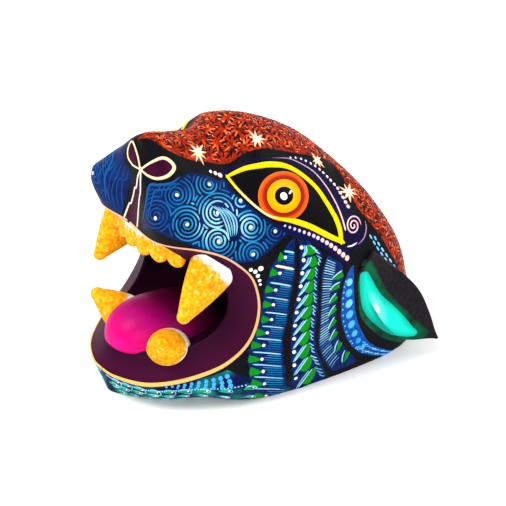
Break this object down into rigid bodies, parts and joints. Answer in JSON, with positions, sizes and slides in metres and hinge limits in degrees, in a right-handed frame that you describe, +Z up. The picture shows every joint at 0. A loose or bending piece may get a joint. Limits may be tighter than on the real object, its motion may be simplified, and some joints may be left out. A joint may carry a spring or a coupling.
{
  "type": "carved animal head",
  "caption": "Carved and painted wooden head of a roaring big cat, resting on its jaw and neck, with glued ears, fangs, front teeth and tongue.",
  "frame": {"origin": "on the surface that the head rests on, in its plane of symmetry, 62 mm behind the front of the lower lip", "axes": "the face looks along -Y, +Z is up, and +X is the animal's left"},
  "size_m": [0.1298, 0.1419, 0.1181],
  "materials": {
    "painted_head": "hand-painted in blue, red, green and purple patterns under a satin varnish",
    "painted_ear": "hand-painted charcoal and green with a teal leaf, satin varnish",
    "fang": "hand-painted orange feathered to cream at the root, satin varnish",
    "tongue": "hand-painted magenta, satin varnish",
    "peg": "bare dowel"
  },
  "bodies": {
    "root": {"head_block": "painted_head", "ear_left": "painted_ear", "ear_right": "painted_ear", "upper_fang_left": "fang", "upper_fang_right": "fang", "lower_fang_left": "fang", "lower_fang_right": "fang", "front_teeth": "fang", "tongue": "tongue", "fang_pegs": "peg", "ear_pegs": "peg", "tongue_pegs": "peg"}
  },
  "joints": []
}
